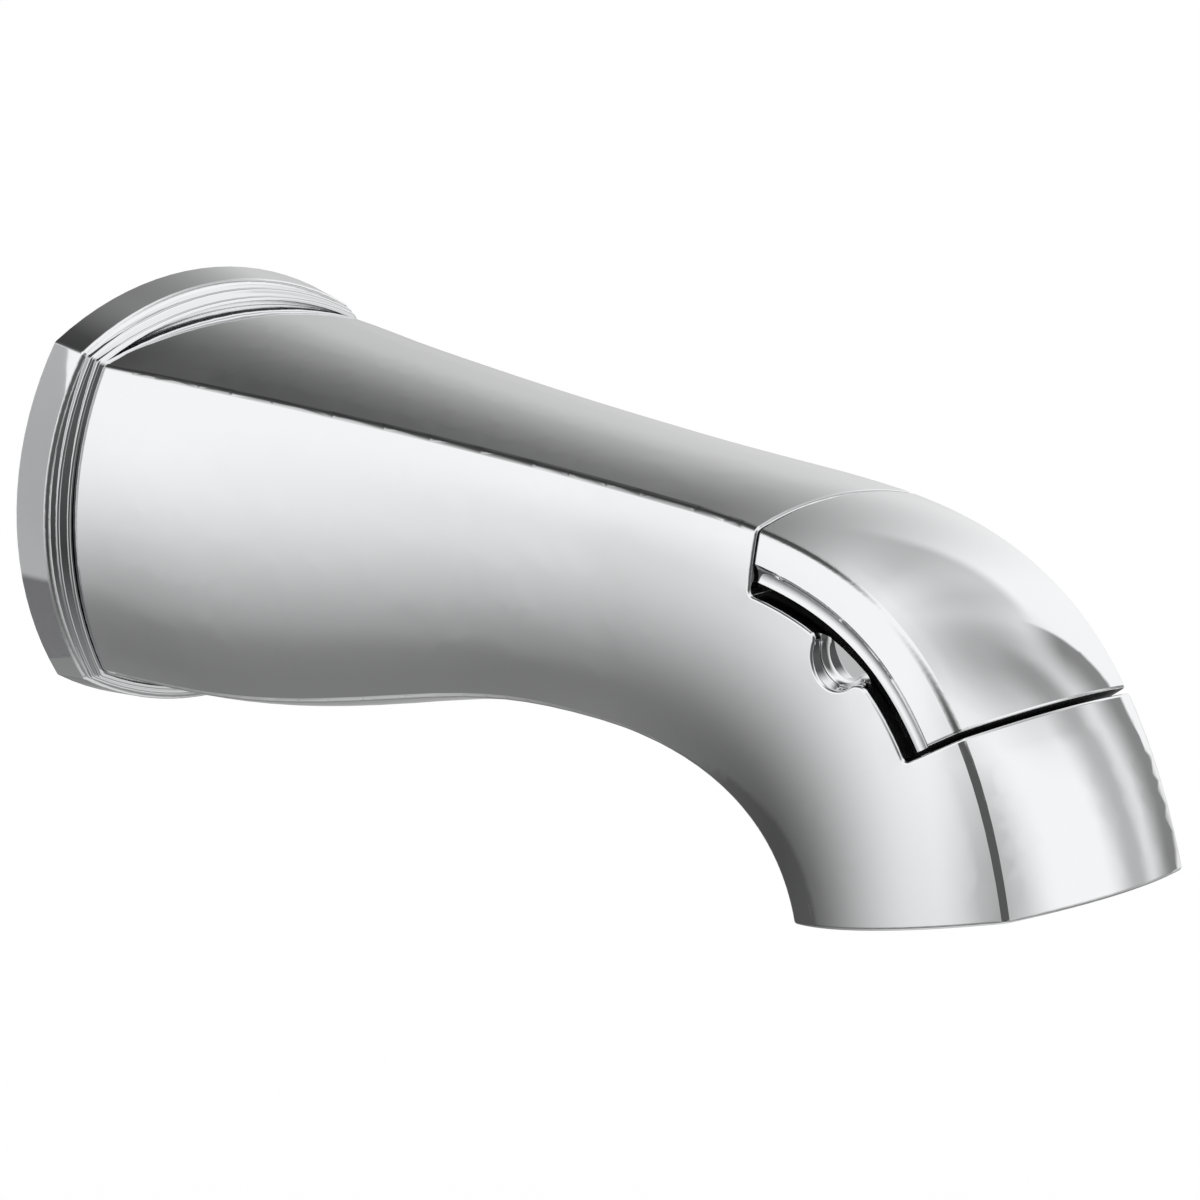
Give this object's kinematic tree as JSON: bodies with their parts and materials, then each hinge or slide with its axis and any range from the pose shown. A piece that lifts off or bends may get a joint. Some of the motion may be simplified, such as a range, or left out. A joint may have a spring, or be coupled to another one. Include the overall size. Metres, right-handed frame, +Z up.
{
  "type": "bath spout with pull-up diverter",
  "caption": "Wall-mounted chrome bath spout: square bowed flange, tapered body bending down to the outlet, and a flush cover that lifts to send water to a shower.",
  "frame": {"origin": "centre of the flange's back face, on the wall plane and on the inlet axis", "axes": "+X out from the wall over the bath, +Z up, Y across; the spout is symmetric about Y = 0"},
  "size_m": [0.1906, 0.0658, 0.0658],
  "materials": {
    "chrome_body": "bright polished chrome plate on cast metal",
    "chrome_cover": "bright polished chrome plate on cast metal",
    "stainless": "turned stainless steel",
    "brass": "machined brass",
    "acetal": "moulded natural acetal",
    "rubber": "moulded black rubber",
    "gasket": "dark closed-cell foam"
  },
  "bodies": {
    "spout": {"spout_body": "chrome_body", "stem_bush": "acetal", "stem_seal": "rubber", "waterway_tube": "brass", "tube_seals": "rubber", "inlet_adapter": "brass", "adapter_screws": "stainless", "wall_gasket": "gasket"},
    "diverter": {"diverter_cover": "chrome_cover", "lift_stem": "stainless", "stem_clip": "stainless", "gate_plate": "acetal", "gate_seal": "rubber", "gate_nut": "stainless"}
  },
  "joints": [
    {"name": "diverter_lift", "type": "slide", "parent": "spout", "child": "diverter", "axis": [0, 0, 1], "range_m": [0, 0.012]}
  ]
}
